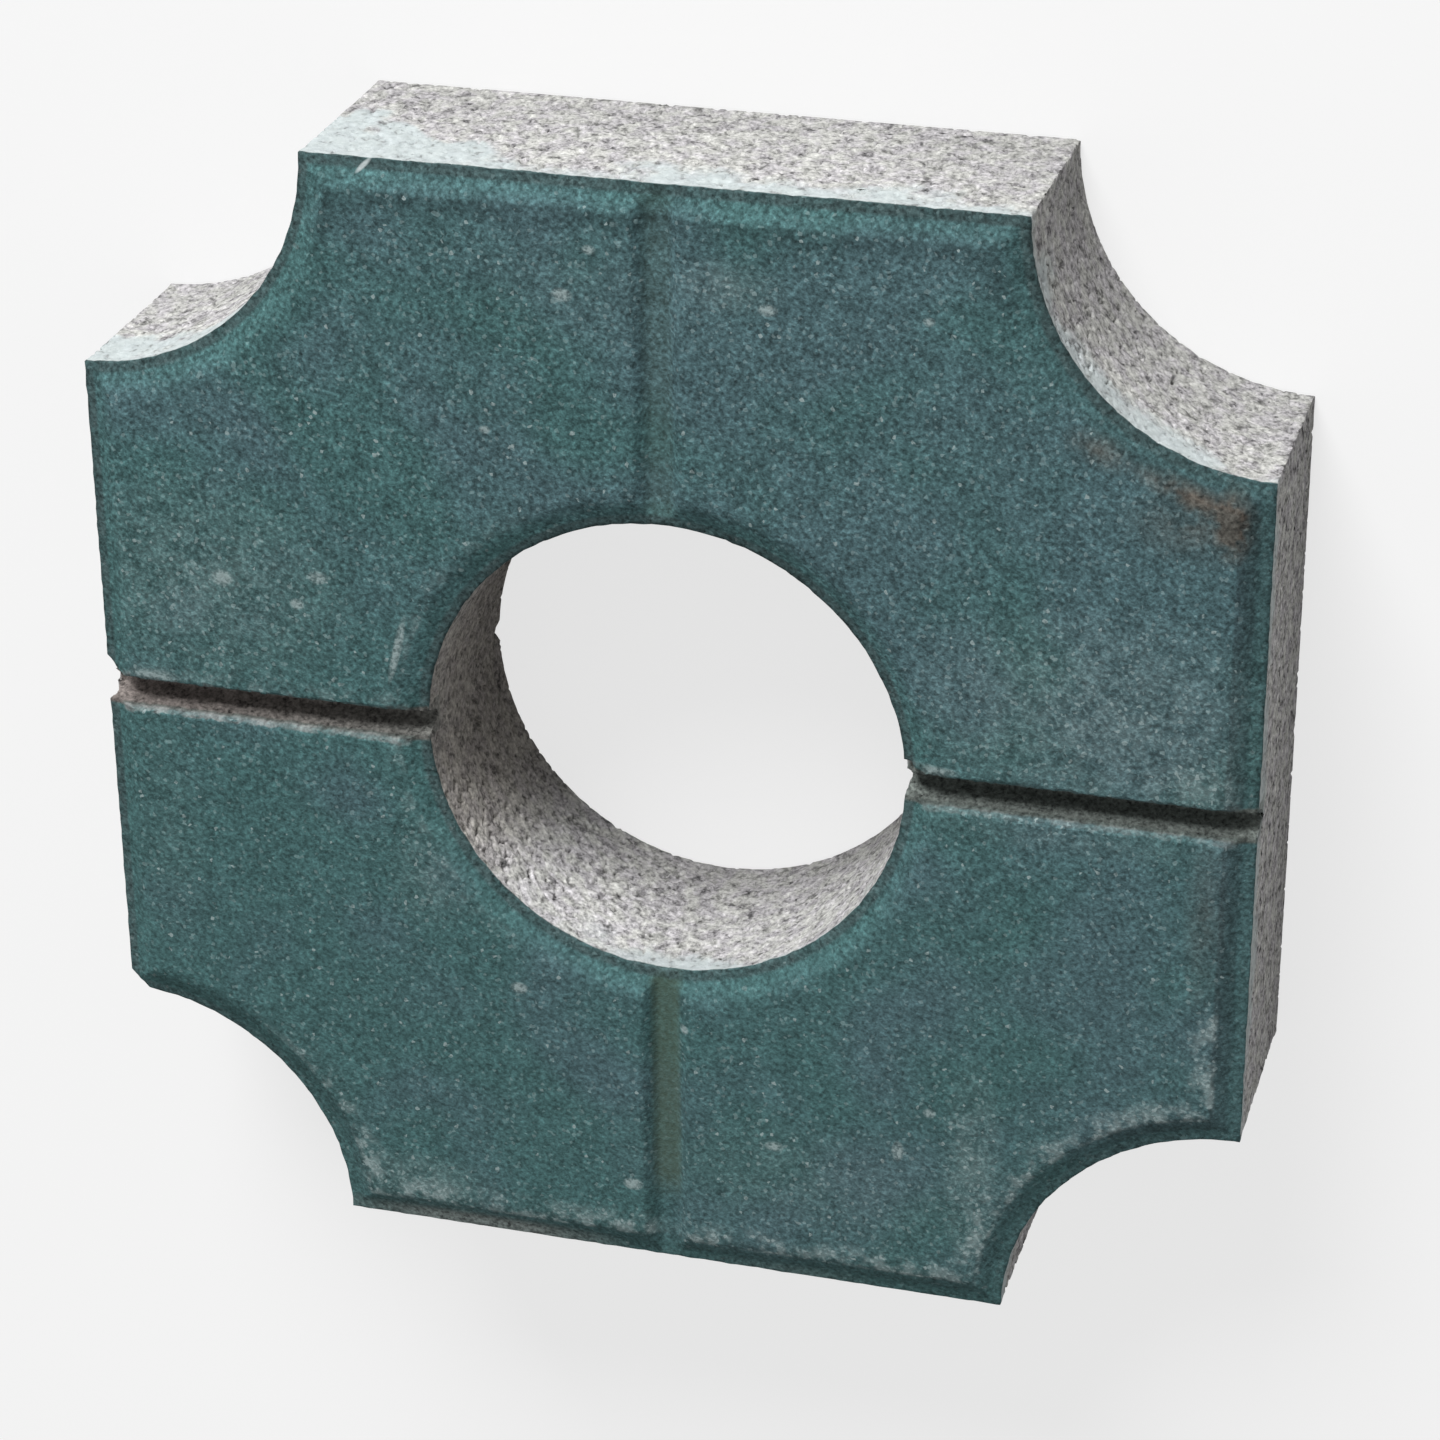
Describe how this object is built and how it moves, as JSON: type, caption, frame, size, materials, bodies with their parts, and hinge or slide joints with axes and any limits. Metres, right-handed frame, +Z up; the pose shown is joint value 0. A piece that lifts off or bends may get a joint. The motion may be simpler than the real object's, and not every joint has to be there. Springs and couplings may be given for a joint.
{
  "type": "paving stone",
  "caption": "Square concrete paving stone with concave quarter-round corners, a round planting hole, a shallow dummy joint and a deep splitting groove across its green face.",
  "frame": {"origin": "centre of the bounding box on the bed, which is on the axis of the planting hole", "axes": "+Z up out of the face along the planting hole, +X along the splitting groove, +Y along the dummy joint"},
  "size_m": [0.3, 0.3, 0.06],
  "materials": {
    "concrete": "matt dry-cast concrete, grey body with a green-pigmented face"
  },
  "bodies": {
    "root": {"paving_stone": "concrete"}
  },
  "joints": []
}
